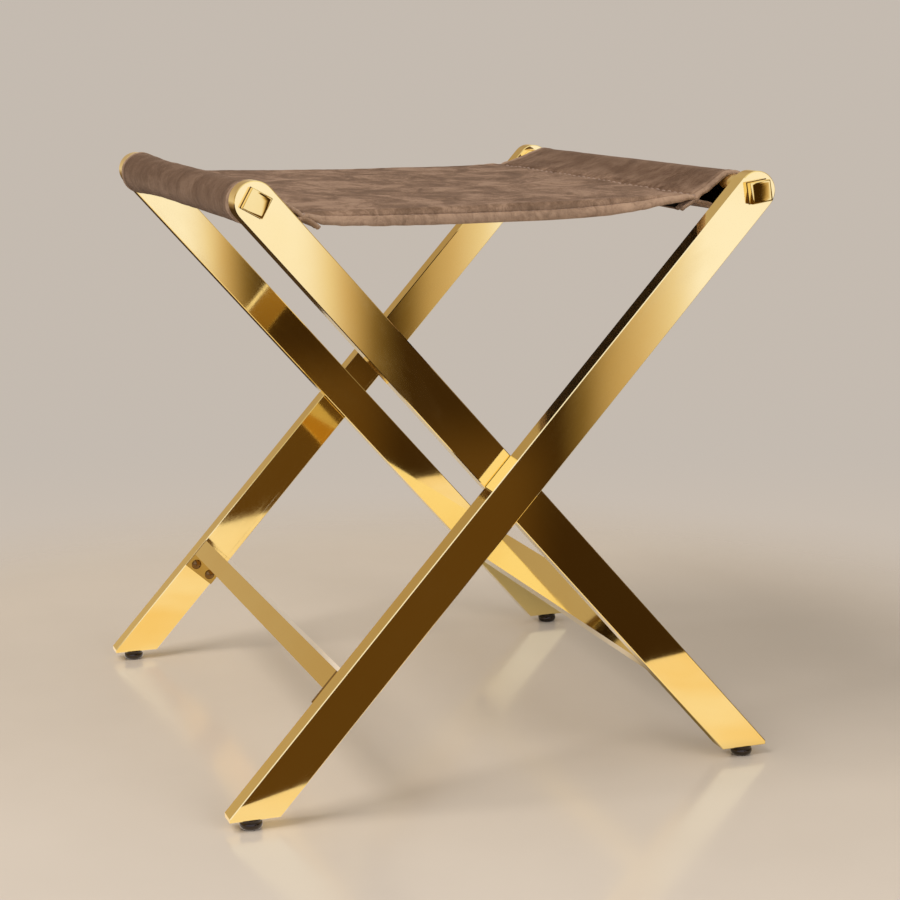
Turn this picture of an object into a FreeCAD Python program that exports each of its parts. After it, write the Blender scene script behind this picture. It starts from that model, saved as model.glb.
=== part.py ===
import FreeCAD, Part
import Sketcher
import math
import os

# A folding stool: two pairs of crossed brass bars and a suede sling hung on two rods.
# X is the width of the crossed legs, Y the depth with the near legs at -Y, Z is up.
# The origin is on the floor under the middle of the stool. Lengths are in millimetres.

# Legs: flat bars, crossed in pairs, the outer pair's bars outside the inner pair's
barWidth = 30.0
barThickness = 16.0
edgeBreak = 0.6
frameDepth = 450.0
pivotGap = 1.0
rodSpread = 376.0
rodHeight = 446.0
pivotHeight = 235.0
tipFlat = 3.0

# Rods that carry the sling, and the square cap bolts that hold them
rodDiameter = 22.0
boltDiameter = 8.0
boltReach = 20.0
capSide = 16.0
capDepth = 5.8
capRise = 1.6
capTaper = 60.0
capTurnFrontRight = -10.0
capTurnFrontLeft = 29.0
capTurnBackRight = 17.0
capTurnBackLeft = -38.0

# Stretchers, their end plates and the plates' screws
stretcherDrop = 192.5
stretcherThickness = 16.0
plateThickness = 2.5
plateFlange = 13.0
screwDiameter = 5.0
screwReach = 8.0
screwHeadDiameter = 9.0
screwHeadRise = 2.6
screwSpacing = 16.0

# Pivots, hidden between the crossed bars
pinDiameter = 10.0
pinDepth = 12.0
endGap = 0.5
pinChamfer = 0.8
runningGap = 0.05
fixedGap = 0.01
washerDiameter = 22.0
washerThickness = 0.8

# Glides under the feet
glideDiameter = 16.8
glideHeight = 8.0
glideEdge = 1.5
stemDiameter = 6.0
stemLength = 14.0

# Suede sling: a pocket round each rod and the seat between them
suedeThickness = 2.0
slingClearance = 4.0
clothGap = 0.3
rodLooseness = 0.1
leftRollRadius = 14.6
rightRollRadius = 15.4
upperLeaveAngle = 60.0
lowerLeaveAngle = 80.0
leftSeamNear = 40.0
leftSeamFar = 40.0
rightSeamNear = 31.0
rightSeamFar = 43.0
leftSeamDropNear = 10.2
leftSeamDropFar = 1.0
rightSeamDropNear = 4.7
rightSeamDropFar = 0.5
nearSag = 12.5
farSag = 1.5
sagFade = 1.5
foldOffset = 20.0
layerJoin = 3.0
leftBendShare = 0.38
leftBendSag = 0.35
rightBendShare = 0.55
rightBendSag = 0.12
seatStations = 5

document = FreeCAD.newDocument("XFrameStool")
sheet = document.addObject("Spreadsheet::Sheet", "Sizes")
Vector = FreeCAD.Vector
Placement = FreeCAD.Placement
Rotation = FreeCAD.Rotation
acrossAxis = Vector(1, 0, 0)
depthAxis = Vector(0, 1, 0)
upAxis = Vector(0, 0, 1)


# A length that knows both its number and the sheet formula that gives it.
class Size:
    def __init__(self, number, formula):
        self.number = number
        self.formula = formula

    def __add__(self, other):
        other = asSize(other)
        return Size(self.number + other.number, "(%s + %s)" % (self.formula, other.formula))

    def __sub__(self, other):
        other = asSize(other)
        return Size(self.number - other.number, "(%s - %s)" % (self.formula, other.formula))

    def __mul__(self, other):
        other = asSize(other)
        return Size(self.number * other.number, "(%s * %s)" % (self.formula, other.formula))

    def __truediv__(self, other):
        other = asSize(other)
        return Size(self.number / other.number, "(%s / %s)" % (self.formula, other.formula))

    def __neg__(self):
        return self * -1

    __rmul__ = __mul__
    __radd__ = __add__


def asSize(value):
    if isinstance(value, Size):
        return value
    return Size(float(value), "(%r)" % float(value))


def root(size):
    return Size(math.sqrt(size.number), "sqrt(%s)" % size.formula)


def arcTangent(size):
    return Size(math.degrees(math.atan(size.number)), "atan(%s)" % size.formula)


# Each size above goes into the sheet under its own name, and is read from there on.
def intoSheet(row, name, number):
    sheet.set("A%d" % row, name)
    sheet.set("B%d" % row, str(number))
    sheet.setAlias("B%d" % row, name)
    return Size(number, "Sizes." + name)


drivingSizes = [(name, number) for name, number in globals().items() if type(number) is float]
for index, (name, number) in enumerate(drivingSizes):
    globals()[name] = intoSheet(index + 1, name, number)

# Worked out from the sizes above
halfBar = barWidth / 2
halfThickness = barThickness / 2
legRun = rodSpread / 2
legRise = rodHeight - pivotHeight
legReach = root(legRun * legRun + legRise * legRise)
leanSine = legRun / legReach
leanCosine = legRise / legReach
leanAngle = arcTangent(legRun / legRise)
footReach = (pivotHeight - glideHeight) / leanCosine
footRun = (pivotHeight - glideHeight) * legRun / legRise
outerInside = frameDepth / 2 - barThickness
innerOutside = outerInside - pivotGap
innerInside = innerOutside - barThickness
outerMiddle = outerInside + halfThickness
innerMiddle = innerInside + halfThickness
stretcherTop = -(stretcherDrop - stretcherThickness / 2)
stretcherBottom = -(stretcherDrop + stretcherThickness / 2)
screwDrop = stretcherBottom - plateFlange / 2
slingWidth = (innerInside - slingClearance) * 2

outerFrame = 1
innerFrame = -1
frontSide = -1
backSide = 1


def legInside(lean):
    return outerInside if lean == outerFrame else innerInside


def legMiddle(lean):
    return outerMiddle if lean == outerFrame else innerMiddle


subParts = []


def newBody(name):
    body = document.addObject("PartDesign::Body", name)
    body.Label = name
    return body


def finished(part, name):
    part.Label = name
    subParts.append(part)
    return part


def originPlane(body, role):
    for feature in body.Origin.OriginFeatures:
        if feature.Role == role:
            return feature
    raise ValueError(role)


def bind(part, prop, size):
    part.setExpression(prop, asSize(size).formula)


# Puts a piece at a point, turned about one axis; each number follows the sheet.
def place(part, across=0, depth=0, up=0, axis=upAxis, angle=0):
    angle = asSize(angle)
    base = Vector(asSize(across).number, asSize(depth).number, asSize(up).number)
    part.Placement = Placement(base, Rotation(axis, angle.number))
    bind(part, "Placement.Base.x", across)
    bind(part, "Placement.Base.y", depth)
    bind(part, "Placement.Base.z", up)
    if angle.number != 0:
        bind(part, "Placement.Rotation.Angle", angle)


def newSketch(body, name, role="XZ_Plane", offset=0):
    sketch = body.newObject("Sketcher::SketchObject", name)
    sketch.AttachmentSupport = [(originPlane(body, role), "")]
    sketch.MapMode = "FlatFace"
    bind(sketch, "AttachmentOffset.Base.z", offset)
    return sketch


def pinPoint(sketch, edge, end, across=None, up=None):
    for kind, size in (("DistanceX", across), ("DistanceY", up)):
        if size is None:
            continue
        size = asSize(size)
        index = sketch.addConstraint(Sketcher.Constraint(kind, -1, 1, edge, end, size.number))
        bind(sketch, "Constraints[%d]" % index, size)


# An arc's middle, the way round it and which of its middle's two places is held.
class Bend:
    def __init__(self, across, up, way=1, held="up"):
        self.across = asSize(across)
        self.up = asSize(up)
        self.way = way
        self.held = held


# A closed outline through corners; bends gives the arc that leaves a corner, if any.
def drawOutline(sketch, corners, bends=None):
    bends = bends or {}
    points = []
    for across, up in corners:
        points.append(Vector(asSize(across).number, asSize(up).number, 0))
    starts = []
    ends = []
    for index in range(len(points)):
        start = points[index]
        end = points[(index + 1) % len(points)]
        bend = bends.get(index)
        if bend is None:
            sketch.addGeometry(Part.LineSegment(start, end), False)
            starts.append(1)
            ends.append(2)
            continue
        middle = Vector(bend.across.number, bend.up.number, 0)
        circle = Part.Circle(middle, upAxis, (start - middle).Length)
        first, last = (start, end) if bend.way == 1 else (end, start)
        firstAngle = math.atan2(first.y - middle.y, first.x - middle.x)
        lastAngle = math.atan2(last.y - middle.y, last.x - middle.x)
        if lastAngle <= firstAngle:
            lastAngle = lastAngle + 2 * math.pi
        sketch.addGeometry(Part.ArcOfCircle(circle, firstAngle, lastAngle), False)
        starts.append(1 if bend.way == 1 else 2)
        ends.append(2 if bend.way == 1 else 1)
    for index in range(len(points)):
        after = (index + 1) % len(points)
        sketch.addConstraint(
            Sketcher.Constraint("Coincident", index, ends[index], after, starts[after]))
    for index, (across, up) in enumerate(corners):
        pinPoint(sketch, index, starts[index], across, up)
    for index, bend in bends.items():
        if bend.held == "up":
            pinPoint(sketch, index, 3, None, bend.up)
        else:
            pinPoint(sketch, index, 3, bend.across, None)


def padSketch(body, name, sketch, length, middle=True):
    pad = body.newObject("PartDesign::Pad", name)
    pad.Profile = sketch
    bind(pad, "Length", length)
    if middle:
        pad.SideType = "Symmetric"
    return pad


# A round hole that starts at a point in the body and runs along one of its planes' normals.
def boreHole(body, name, radius, length, across, up, depth, role="XZ_Plane", lean=0):
    hole = body.newObject("PartDesign::SubtractiveCylinder", name)
    hole.AttachmentSupport = [(originPlane(body, role), "")]
    hole.MapMode = "FlatFace"
    lean = asSize(lean)
    offset = Vector(asSize(across).number, asSize(up).number, asSize(depth).number)
    hole.AttachmentOffset = Placement(offset, Rotation(depthAxis, lean.number))
    bind(hole, "Radius", radius)
    bind(hole, "Height", length)
    bind(hole, "AttachmentOffset.Base.x", across)
    bind(hole, "AttachmentOffset.Base.y", up)
    bind(hole, "AttachmentOffset.Base.z", depth)
    if lean.number != 0:
        bind(hole, "AttachmentOffset.Rotation.Angle", lean)
    return hole


# The depth at which a blind hole starts, so that it opens on the near (-1) or far (+1) face.
def holeStart(side, length):
    if side == frontSide:
        return halfThickness - length
    return -halfThickness


# A round piece made on a lathe: its outline on one side of the Z axis is turned once round.
def turnedPiece(name, corners, bends=None):
    body = newBody(name)
    sketch = newSketch(body, name + "_profile")
    drawOutline(sketch, corners, bends)
    turned = body.newObject("PartDesign::Revolution", name + "_turned")
    turned.Profile = sketch
    turned.ReferenceAxis = (sketch, ["V_Axis"])
    turned.Angle = 360
    return body


# Breaks the sharp edges that lie on a body's near and far faces.
def breakEdges(body, name, depth):
    document.recompute()
    base = body.Tip
    names = []
    for index, edge in enumerate(base.Shape.Edges):
        if all(abs(abs(vertex.Y) - depth.number) < 1e-6 for vertex in edge.Vertexes):
            if abs(edge.CenterOfMass.y) > depth.number / 2:
                names.append("Edge%d" % (index + 1))
    chamfer = body.newObject("PartDesign::Chamfer", name)
    chamfer.Base = (base, names)
    bind(chamfer, "Size", edgeBreak)
    return chamfer


# A point on a leg's frame, given across the bar and along it from the pivot, in the stool
def onFrame(lean, across, along):
    return (
        lean * (asSize(across) * leanCosine + asSize(along) * leanSine),
        pivotHeight - asSize(across) * leanSine + asSize(along) * leanCosine)


# A leg is drawn upright with the pivot at its origin, then leaned over
def makeLeg(name, lean, side):
    body = newBody(name)
    cutSlope = halfBar * leanSine / leanCosine
    tip = -(footReach + cutSlope)
    heel = -(footReach - cutSlope)
    tipCut = tipFlat * leanSine / leanCosine
    sketch = newSketch(body, name + "_outline")
    if lean == outerFrame:
        corners = [
            (halfBar, heel),
            (halfBar, legReach),
            (-halfBar, legReach),
            (-halfBar, tip + tipFlat / leanCosine),
            (-halfBar + tipCut * leanCosine, tip + tipCut * leanSine)]
    else:
        corners = [
            (halfBar - tipCut * leanCosine, tip + tipCut * leanSine),
            (halfBar, tip + tipFlat / leanCosine),
            (halfBar, legReach),
            (-halfBar, legReach),
            (-halfBar, heel)]
    roundTop = 1 if lean == outerFrame else 2
    drawOutline(sketch, corners, {roundTop: Bend(0, legReach)})
    padSketch(body, name + "_bar", sketch, barThickness)
    breakEdges(body, name + "_edges", halfThickness)
    pivotFace = -side * lean
    boreRadius = pinDiameter / 2 + (fixedGap if lean == outerFrame else runningGap)
    boreHole(body, name + "_pivot_bore", boreRadius, pinDepth, 0, 0, holeStart(pivotFace, pinDepth))
    boltRadius = boltDiameter / 2 + fixedGap
    boreHole(body, name + "_bolt_bore", boltRadius, barThickness, 0, legReach, -halfThickness)
    for hand in (-1, 1):
        start = holeStart(-side, screwReach)
        radius = screwDiameter / 2 + fixedGap
        hole = name + ("_screw_bore_a" if hand < 0 else "_screw_bore_b")
        boreHole(body, hole, radius, screwReach, hand * screwSpacing / 2, screwDrop, start)
    stemRadius = stemDiameter / 2 + fixedGap
    boreHole(body, name + "_stem_bore", stemRadius, stemLength, 0, 0, -footReach, "XY_Plane",
             -lean * leanAngle)
    place(body, 0, side * legMiddle(lean), pivotHeight, depthAxis, lean * leanAngle)
    return finished(body, name)


# A rod with a tapped bore in each end
def makeRod(name, lean):
    radius = rodDiameter / 2
    half = legInside(lean)
    bore = boltDiameter / 2 + fixedGap
    corners = [
        (0, boltReach - half),
        (bore, boltReach - half),
        (bore, -half),
        (radius - edgeBreak, -half),
        (radius, edgeBreak - half),
        (radius, half - edgeBreak),
        (radius - edgeBreak, half),
        (bore, half),
        (bore, half - boltReach),
        (0, half - boltReach)]
    rod = turnedPiece(name, corners)
    place(rod, lean * legRun, 0, rodHeight, acrossAxis, -90)
    return finished(rod, name)


# A square cap with a low pyramid face and a shank through the leg into the rod
def makeCapBolt(name, lean, side, turn):
    body = newBody(name)
    half = capSide / 2
    square = [(half, -half), (half, half), (-half, half), (-half, -half)]
    base = newSketch(body, name + "_square")
    drawOutline(base, square)
    padSketch(body, name + "_head", base, capDepth, False)
    face = newSketch(body, name + "_face", "XZ_Plane", capDepth)
    drawOutline(face, square)
    rise = padSketch(body, name + "_rise", face, capRise, False)
    bind(rise, "TaperAngle", -capTaper)
    shank = newSketch(body, name + "_circle")
    shank.addGeometry(Part.Circle(Vector(0, 0, 0), upAxis, boltDiameter.number / 2), False)
    shank.addConstraint(Sketcher.Constraint("Coincident", 0, 3, -1, 1))
    radius = shank.addConstraint(Sketcher.Constraint("Radius", 0, boltDiameter.number / 2))
    bind(shank, "Constraints[%d]" % radius, boltDiameter / 2)
    pad = padSketch(body, name + "_shank", shank, barThickness + boltReach - endGap, False)
    pad.Reversed = True
    outside = legMiddle(lean) + halfThickness
    place(body, 0, 0, 0, depthAxis, turn)
    if side == frontSide:
        return finished(movedCap(body, name, lean, -outside, 0), name)
    return finished(movedCap(body, name, lean, outside, 180), name)


# Carries a turned cap bolt to its rod's end, facing outwards
def movedCap(body, name, lean, depth, facing):
    body.Label = name + "_blank"
    moved = document.addObject("Part::Compound", name)
    moved.Links = [body]
    place(moved, lean * legRun, depth, rodHeight, upAxis, facing)
    return moved


# A stretcher bar, as wide as the legs, between its two end plates
def makeStretcher(name, lean):
    body = newBody(name)
    sketch = newSketch(body, name + "_section")
    drawOutline(sketch, [
        (halfBar, stretcherBottom),
        (halfBar, stretcherTop),
        (-halfBar, stretcherTop),
        (-halfBar, stretcherBottom)])
    padSketch(body, name + "_bar", sketch, (legInside(lean) - plateThickness) * 2)
    place(body, 0, 0, pivotHeight, depthAxis, lean * leanAngle)
    return finished(body, name)


# The plate on a stretcher's end, with a flange below it that takes two screws
def makePlate(name, lean, side):
    body = newBody(name)
    sketch = newSketch(body, name + "_outline")
    bottom = stretcherBottom - plateFlange
    drawOutline(sketch, [
        (halfBar, bottom), (halfBar, stretcherTop), (-halfBar, stretcherTop), (-halfBar, bottom)])
    padSketch(body, name + "_sheet", sketch, plateThickness)
    for hand in (-1, 1):
        hole = name + ("_hole_a" if hand < 0 else "_hole_b")
        radius = screwDiameter / 2 + fixedGap
        boreHole(body, hole, radius, plateThickness, hand * screwSpacing / 2, screwDrop,
                 -plateThickness / 2)
    depth = side * (legInside(lean) - plateThickness / 2)
    place(body, 0, depth, pivotHeight, depthAxis, lean * leanAngle)
    return finished(body, name)


# The four round-headed screws of one stretcher's plates
def makeScrews(name, lean):
    head = screwHeadDiameter / 2
    shank = screwDiameter / 2
    length = plateThickness + screwReach - endGap
    domeDrop = (head * head - screwHeadRise * screwHeadRise) / (screwHeadRise * 2)
    screws = []
    for side in (frontSide, backSide):
        for hand in (-1, 1):
            corners = [(0, -length), (shank, -length), (shank, 0), (head, 0), (0, screwHeadRise)]
            piece = "%s_%d" % (name, len(screws) + 1)
            screw = turnedPiece(piece, corners, {3: Bend(0, -domeDrop, 1, "across")})
            across, up = onFrame(lean, hand * screwSpacing / 2, screwDrop)
            depth = side * (legInside(lean) - plateThickness)
            place(screw, across, depth, up, acrossAxis, side * 90)
            screws.append(screw)
    group = document.addObject("Part::Compound", name)
    group.Links = screws
    return finished(group, name)


# A plain pin, fixed in the outer leg, on which the inner leg turns
def makePivotPin(name, side):
    radius = pinDiameter / 2
    length = pinDepth * 2 + pivotGap - endGap
    pin = turnedPiece(name, [
        (0, 0),
        (radius - pinChamfer, 0),
        (radius, pinChamfer),
        (radius, length - pinChamfer),
        (radius - pinChamfer, length),
        (0, length)])
    place(pin, 0, side * (outerInside + pinDepth), pivotHeight, acrossAxis, side * 90)
    return finished(pin, name)


# A thin washer that keeps the crossed bars apart
def makeWasher(name, side):
    inner = pinDiameter / 2 + runningGap
    outer = washerDiameter / 2
    washer = turnedPiece(name, [
        (inner, 0), (outer, 0), (outer, washerThickness), (inner, washerThickness)])
    place(washer, 0, side * outerInside, pivotHeight, acrossAxis, side * 90)
    return finished(washer, name)


# A glide pad with a stem that is driven into the end of a leg
def makeGlide(name, lean, side):
    radius = glideDiameter / 2
    stem = stemDiameter / 2
    top = glideHeight + stemLength - endGap
    glide = turnedPiece(name, [
        (0, 0),
        (radius - glideEdge, 0),
        (radius, glideEdge),
        (radius, glideHeight - glideEdge / 2),
        (radius - glideEdge / 2, glideHeight),
        (stem, glideHeight),
        (stem, top),
        (0, top)])
    place(glide, -lean * footRun, side * legMiddle(lean), 0)
    return finished(glide, name)


def rollRadius(side):
    return rightRollRadius if side > 0 else leftRollRadius


# How far a pocket's middle hangs below its rod's middle
def rollDrop(side):
    return rollRadius(side) - suedeThickness - rodDiameter / 2 - rodLooseness


def degreesPoint(radius, angle):
    turn = math.radians(angle)
    cosine = Size(math.cos(turn), "cos(%r deg)" % angle)
    sine = Size(math.sin(turn), "sin(%r deg)" % angle)
    return radius * cosine, radius * sine


# The suede round a rod, open on the seat's side where its two layers run on to the seam
def makePocket(name, side):
    body = newBody(name)
    outer = rollRadius(side)
    inner = outer - suedeThickness
    upper = upperLeaveAngle.number
    lower = -lowerLeaveAngle.number
    outerUpper = degreesPoint(outer, upper)
    outerLower = degreesPoint(outer, lower)
    innerUpper = degreesPoint(inner, upper)
    innerLower = degreesPoint(inner, lower)
    sketch = newSketch(body, name + "_section")
    if side < 0:
        corners = [outerUpper, outerLower, innerLower, innerUpper]
        ways = (1, -1)
    else:
        corners = []
        for across, up in (outerUpper, outerLower, innerLower, innerUpper):
            corners.append((-across, up))
        ways = (-1, 1)
    drawOutline(sketch, corners, {0: Bend(0, 0, ways[0]), 2: Bend(0, 0, ways[1])})
    padSketch(body, name + "_cloth", sketch, slingWidth)
    place(body, side * legRun, 0, rodHeight - rollDrop(side))
    return finished(body, name)


# One cross-section of the seat, at a share of the way from its near edge to its far edge
def seatSection(share):
    thickness = suedeThickness.number
    depth = (share - 0.5) * slingWidth.number
    fade = (1 - share) ** sagFade.number

    def between(near, far):
        return far.number + (near.number - far.number) * fade

    def ends(side):
        radius = rollRadius(side).number
        middle = side * legRun.number
        height = rodHeight.number - rollDrop(side).number
        upper = math.radians(upperLeaveAngle.number) - clothGap.number / radius
        lower = -math.radians(lowerLeaveAngle.number) + clothGap.number / radius
        seamNear = rightSeamNear if side > 0 else leftSeamNear
        seamFar = rightSeamFar if side > 0 else leftSeamFar
        dropNear = rightSeamDropNear if side > 0 else leftSeamDropNear
        dropFar = rightSeamDropFar if side > 0 else leftSeamDropFar
        seam = middle - side * between(seamNear, seamFar)
        seamHeight = rodHeight.number - between(dropNear, dropFar)
        points = []
        for distance, angle in (
                (radius, upper), (radius - thickness, upper),
                (radius - thickness, lower), (radius, lower)):
            across = middle - side * distance * math.cos(angle)
            points.append(Vector(across, depth, height + distance * math.sin(angle)))
        return points, Vector(seam, depth, seamHeight)

    leftPoints, leftSeam = ends(-1)
    rightPoints, rightSeam = ends(1)
    sag = between(nearSag, farSag)
    lowest = (leftSeam + rightSeam) / 2 - Vector(foldOffset.number * fade, 0, sag)
    leftBend = leftSeam + (lowest - leftSeam) * leftBendShare.number
    leftBend -= Vector(0, 0, sag * leftBendSag.number)
    rightBend = rightSeam + (lowest - rightSeam) * rightBendShare.number
    rightBend -= Vector(0, 0, sag * rightBendSag.number)
    under = Vector(0, 0, -thickness)
    join = Vector(layerJoin.number, 0, 0)
    edges = []

    def line(start, end):
        edges.append(Part.LineSegment(start, end).toShape())

    def bend(start, middle, end):
        edges.append(Part.Arc(start, middle, end).toShape())

    line(leftPoints[0], leftSeam)
    bend(leftSeam, leftBend, lowest)
    bend(lowest, rightBend, rightSeam)
    line(rightSeam, rightPoints[0])
    line(rightPoints[0], rightPoints[1])
    line(rightPoints[1], rightSeam + under + join)
    line(rightSeam + under + join, rightPoints[2])
    line(rightPoints[2], rightPoints[3])
    line(rightPoints[3], rightSeam + under * 2)
    line(rightSeam + under * 2, rightSeam + under)
    bend(rightSeam + under, rightBend + under, lowest + under)
    bend(lowest + under, leftBend + under, leftSeam + under)
    line(leftSeam + under, leftSeam + under * 2)
    line(leftSeam + under * 2, leftPoints[3])
    line(leftPoints[3], leftPoints[2])
    line(leftPoints[2], leftSeam + under - join)
    line(leftSeam + under - join, leftPoints[1])
    line(leftPoints[1], leftPoints[0])
    return Part.Wire(edges)


# The seat between the pockets: slack at the near edge, almost flat at the far one
def makeSeat(name):
    sections = []
    for index in range(seatStations):
        sections.append(seatSection(index / (seatStations - 1)))
    seat = document.addObject("Part::Feature", name)
    seat.Shape = Part.makeLoft(sections, True, True)
    seat.Placement = Placement()
    return finished(seat, name)


for frameName, lean in (("outer", outerFrame), ("inner", innerFrame)):
    for sideName, side in (("front", frontSide), ("back", backSide)):
        makeLeg("%s_leg_%s" % (frameName, sideName), lean, side)
        makePlate("%s_plate_%s" % (frameName, sideName), lean, side)
        makeGlide("%s_glide_%s" % (frameName, sideName), lean, side)
    makeStretcher(frameName + "_stretcher", lean)
    makeScrews(frameName + "_plate_screws", lean)

makeRod("right_rod", outerFrame)
makeRod("left_rod", innerFrame)
makeCapBolt("right_cap_bolt_front", outerFrame, frontSide, capTurnFrontRight)
makeCapBolt("right_cap_bolt_back", outerFrame, backSide, capTurnBackRight)
makeCapBolt("left_cap_bolt_front", innerFrame, frontSide, capTurnFrontLeft)
makeCapBolt("left_cap_bolt_back", innerFrame, backSide, capTurnBackLeft)

for sideName, side in (("front", frontSide), ("back", backSide)):
    makePivotPin("pivot_pin_" + sideName, side)
    makeWasher("pivot_washer_" + sideName, side)

makePocket("left_pocket", -1)
makePocket("right_pocket", 1)
makeSeat("seat_panel")

document.recompute()
for item in document.Objects:
    if "Invalid" in item.State or "Error" in item.State:
        raise RuntimeError("failed: " + item.Name)
for part in subParts:
    if part.Shape.isNull() or not part.Shape.isValid() or not part.Shape.Solids:
        raise RuntimeError("no valid solid: " + part.Label)

os.makedirs("parts", exist_ok=True)
for part in subParts:
    part.Shape.exportStep("parts/%s.step" % part.Label)
    print(part.Label, len(part.Shape.Solids), round(part.Shape.Volume, 1))
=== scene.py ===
import math

import bpy
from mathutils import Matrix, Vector, noise


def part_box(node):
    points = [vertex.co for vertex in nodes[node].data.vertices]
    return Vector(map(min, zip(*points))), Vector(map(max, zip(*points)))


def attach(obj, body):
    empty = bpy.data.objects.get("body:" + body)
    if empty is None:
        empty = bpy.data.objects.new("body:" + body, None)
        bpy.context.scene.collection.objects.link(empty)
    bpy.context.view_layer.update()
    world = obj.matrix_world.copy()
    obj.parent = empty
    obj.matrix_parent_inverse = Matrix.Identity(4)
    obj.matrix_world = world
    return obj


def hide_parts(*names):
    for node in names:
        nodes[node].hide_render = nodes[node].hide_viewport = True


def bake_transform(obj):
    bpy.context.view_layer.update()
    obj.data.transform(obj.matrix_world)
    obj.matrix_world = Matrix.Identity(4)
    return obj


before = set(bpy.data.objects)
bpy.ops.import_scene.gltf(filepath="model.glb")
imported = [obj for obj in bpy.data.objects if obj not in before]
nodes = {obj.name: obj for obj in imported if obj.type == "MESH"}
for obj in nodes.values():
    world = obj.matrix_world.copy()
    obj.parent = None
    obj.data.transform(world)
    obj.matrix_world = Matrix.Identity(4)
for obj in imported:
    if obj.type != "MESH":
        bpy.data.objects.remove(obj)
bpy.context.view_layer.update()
mm = 0.001
print("frame loaded")


# Only this object is selected and active
def pick(piece):
    bpy.ops.object.select_all(action="DESELECT")
    piece.select_set(True)
    bpy.context.view_layer.objects.active = piece


# Selects faces or vertices in edit mode where the test is true, for the operators that follow
def choose(piece, kind, test):
    bpy.ops.object.mode_set(mode="OBJECT")
    mesh = piece.data
    for part in list(mesh.vertices) + list(mesh.edges) + list(mesh.polygons):
        part.select = False
    for part in (mesh.polygons if kind == "FACE" else mesh.vertices):
        part.select = bool(test(part))
    bpy.ops.object.mode_set(mode="EDIT")
    bpy.ops.mesh.select_mode(type=kind)


def applyModifiers(piece):
    pick(piece)
    for modifier in list(piece.modifiers):
        bpy.ops.object.modifier_apply(modifier=modifier.name)


def joined(pieces, name):
    bpy.ops.object.select_all(action="DESELECT")
    for piece in pieces:
        piece.select_set(True)
    bpy.context.view_layer.objects.active = pieces[0]
    if len(pieces) > 1:
        bpy.ops.object.join()
    pieces[0].name = name
    return pieces[0]


# Camera, at the place and angle of the photograph
cameraSetup = {
    "place": (-0.52709, -1.53152, 0.54794),
    "heading": -19.945,
    "down": 11.382,
    "lens": 79.415,
}


def makeCamera(setup):
    bpy.ops.object.camera_add(location=setup["place"])
    camera = bpy.context.object
    camera.rotation_euler = (math.radians(90 - setup["down"]), 0, math.radians(setup["heading"]))
    camera.data.lens = setup["lens"]
    camera.data.sensor_width = 36
    camera.data.clip_end = 60
    bpy.context.scene.camera = camera


makeCamera(cameraSetup)
print("camera placed")


# A shader value that adds its own Math nodes when it is used in sums
class Value:
    def __init__(self, maker, socket):
        self.maker = maker
        self.socket = socket

    def maths(self, operation, first, second):
        node = self.maker.add("ShaderNodeMath", {"operation": operation}, {0: first, 1: second})
        return Value(self.maker, node.outputs[0])

    def __add__(self, other):
        return self.maths("ADD", self, other)

    def __sub__(self, other):
        return self.maths("SUBTRACT", self, other)

    def __mul__(self, other):
        return self.maths("MULTIPLY", self, other)

    def __truediv__(self, other):
        return self.maths("DIVIDE", self, other)

    __radd__ = __add__
    __rmul__ = __mul__


# Builds one node tree
class Maker:
    def __init__(self, tree):
        self.tree = tree
        tree.nodes.clear()

    def add(self, kind, settings=None, inputs=None):
        node = self.tree.nodes.new(kind)
        for name, value in (settings or {}).items():
            if name == "stops":
                self.setStops(node.color_ramp, value)
            else:
                setattr(node, name, value)
        for name, value in (inputs or {}).items():
            socket = node.inputs[name]
            if isinstance(value, Value):
                self.tree.links.new(value.socket, socket)
            elif isinstance(value, bpy.types.NodeSocket):
                self.tree.links.new(value, socket)
            else:
                socket.default_value = value
        return node

    def setStops(self, ramp, stops):
        while len(ramp.elements) < len(stops):
            ramp.elements.new(0.5)
        for element, (place, colour) in zip(ramp.elements, stops):
            element.position = place
            element.color = colour if len(colour) == 4 else (*colour, 1)

    def value(self, node, output=0):
        return Value(self, node.outputs[output])

    def noise(self, vector, scale, detail=3, roughness=0.5, distortion=0):
        return self.value(self.add("ShaderNodeTexNoise", {"noise_dimensions": "3D"}, {
            "Vector": vector, "Scale": scale, "Detail": detail, "Roughness": roughness,
            "Distortion": distortion}), "Fac")

    def ramp(self, factor, low, high, out=(0, 1)):
        node = self.add("ShaderNodeMapRange", {"interpolation_type": "SMOOTHSTEP"}, {
            "Value": factor, "From Min": low, "From Max": high,
            "To Min": out[0], "To Max": out[1]})
        return self.value(node)

    def mix(self, factor, first, second, blend="MIX"):
        node = self.add("ShaderNodeMix", {"data_type": "RGBA", "blend_type": blend})
        for index, value in ((0, factor), (6, first), (7, second)):
            if isinstance(value, Value):
                self.tree.links.new(value.socket, node.inputs[index])
            else:
                node.inputs[index].default_value = value if index == 0 else (*value, 1)
        return Value(self, node.outputs[2])

    def bump(self, height, distance, strength=1.0, normal=None):
        inputs = {"Height": height, "Distance": distance, "Strength": strength}
        if normal is not None:
            inputs["Normal"] = normal
        return self.value(self.add("ShaderNodeBump", None, inputs))

    def scaled(self, vector, scale):
        return self.value(self.add("ShaderNodeMapping", None, {"Vector": vector, "Scale": scale}))


def newMaterial(name):
    material = bpy.data.materials.new(name)
    material.use_nodes = True
    return material, Maker(material.node_tree)


def finishSurface(maker, inputs):
    shader = maker.add("ShaderNodeBsdfPrincipled", None, inputs)
    maker.add("ShaderNodeOutputMaterial", None, {"Surface": shader.outputs[0]})


# Polished brass: mirror-like, with faint clouds of haze, hairline rubs and a slow change of tone
brassLook = {"tone": (0.985, 0.785, 0.325), "deepTone": (0.965, 0.745, 0.285), "gloss": 0.035,
             "haze": 0.06, "rub": 0.0000004, "wave": 0.00012}


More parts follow.
